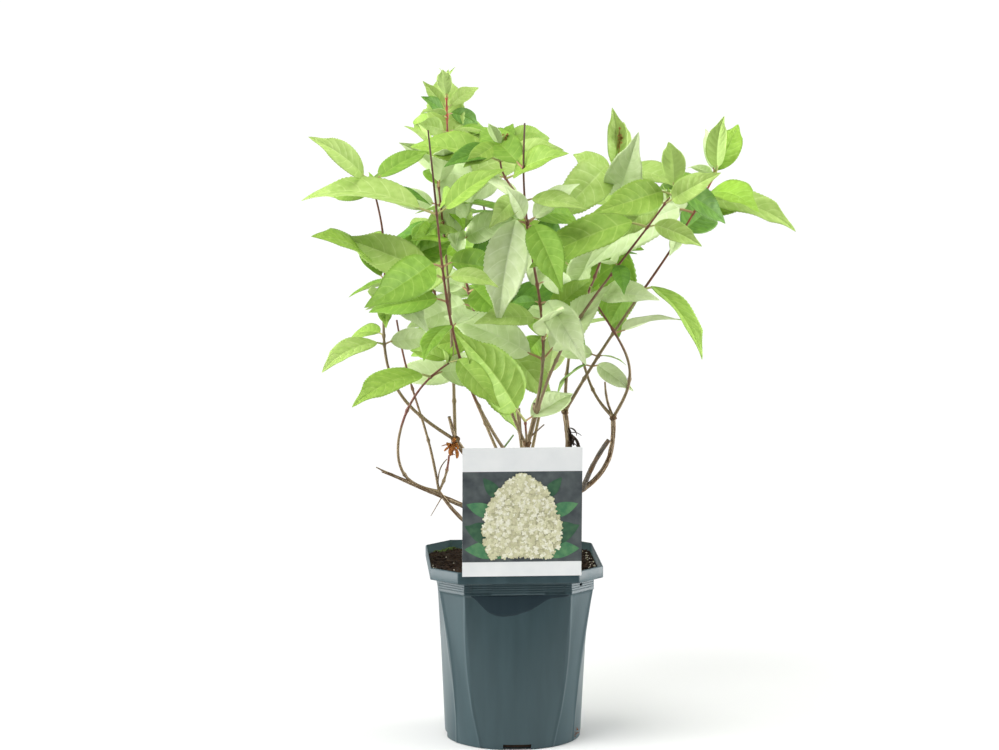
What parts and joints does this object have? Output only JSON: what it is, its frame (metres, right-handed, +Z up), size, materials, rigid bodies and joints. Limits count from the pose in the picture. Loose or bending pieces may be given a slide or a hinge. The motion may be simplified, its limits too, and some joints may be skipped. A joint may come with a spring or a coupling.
{
  "type": "potted panicle hydrangea",
  "caption": "Many-stemmed young leafy shrub with paired leaves on thin canes, growing in a square-to-round nursery pot with a hanging picture label.",
  "frame": {"origin": "the middle of the pot's flat underside", "axes": "+Z up along the pot's axis, -Y towards the pot's front flat, where the label hangs, +X to the right"},
  "size_m": [0.4765, 0.3563, 0.6655],
  "materials": {
    "pot_plastic": "dark slate moulded plastic with a soft sheen and faint streaks",
    "potting_soil": "moist dark peat in crumbs",
    "label_card": "printed card, satin",
    "old_bark": "grey-brown peeling bark",
    "cane_bark": "tan to reddish young bark",
    "foliage": "soft matt green leaf with pale veins"
  },
  "bodies": {
    "root": {"pot": "pot_plastic", "potting_soil": "potting_soil", "picture_label": "label_card", "woody_crown": "old_bark", "old_limb_cut_left": "old_bark", "old_limb_low_left": "old_bark", "old_limb_left": "old_bark", "old_limb_middle": "old_bark", "old_limb_right": "old_bark", "old_limb_outer_right": "old_bark", "cut_stub_right": "old_bark", "cut_stub_left": "old_bark", "budded_stub": "old_bark", "dead_twig_right": "old_bark", "cane_left": "cane_bark", "cane_left_inner": "cane_bark", "cane_front_left": "cane_bark", "cane_tall": "cane_bark", "cane_middle": "cane_bark", "cane_front_right": "cane_bark", "cane_back_right": "cane_bark", "cane_right": "cane_bark", "cane_bowed_right": "cane_bark", "cane_thin_right": "cane_bark", "cane_low_left_lower": "cane_bark", "cane_low_left_upper": "cane_bark", "cane_back": "cane_bark", "cane_back_left": "cane_bark", "cane_back_right_low": "cane_bark", "cane_low_left_bare": "cane_bark", "cane_low_left_short": "cane_bark", "foliage_left": "foliage", "foliage_left_inner": "foliage", "foliage_front_left": "foliage", "foliage_tall": "foliage", "foliage_middle": "foliage", "foliage_front_right": "foliage", "foliage_back_right": "foliage", "foliage_right": "foliage", "foliage_bowed_right": "foliage", "foliage_thin_right": "foliage", "foliage_low_left": "foliage", "foliage_back": "foliage", "foliage_back_left": "foliage", "foliage_back_right_low": "foliage", "foliage_low_front": "foliage"}
  },
  "joints": []
}
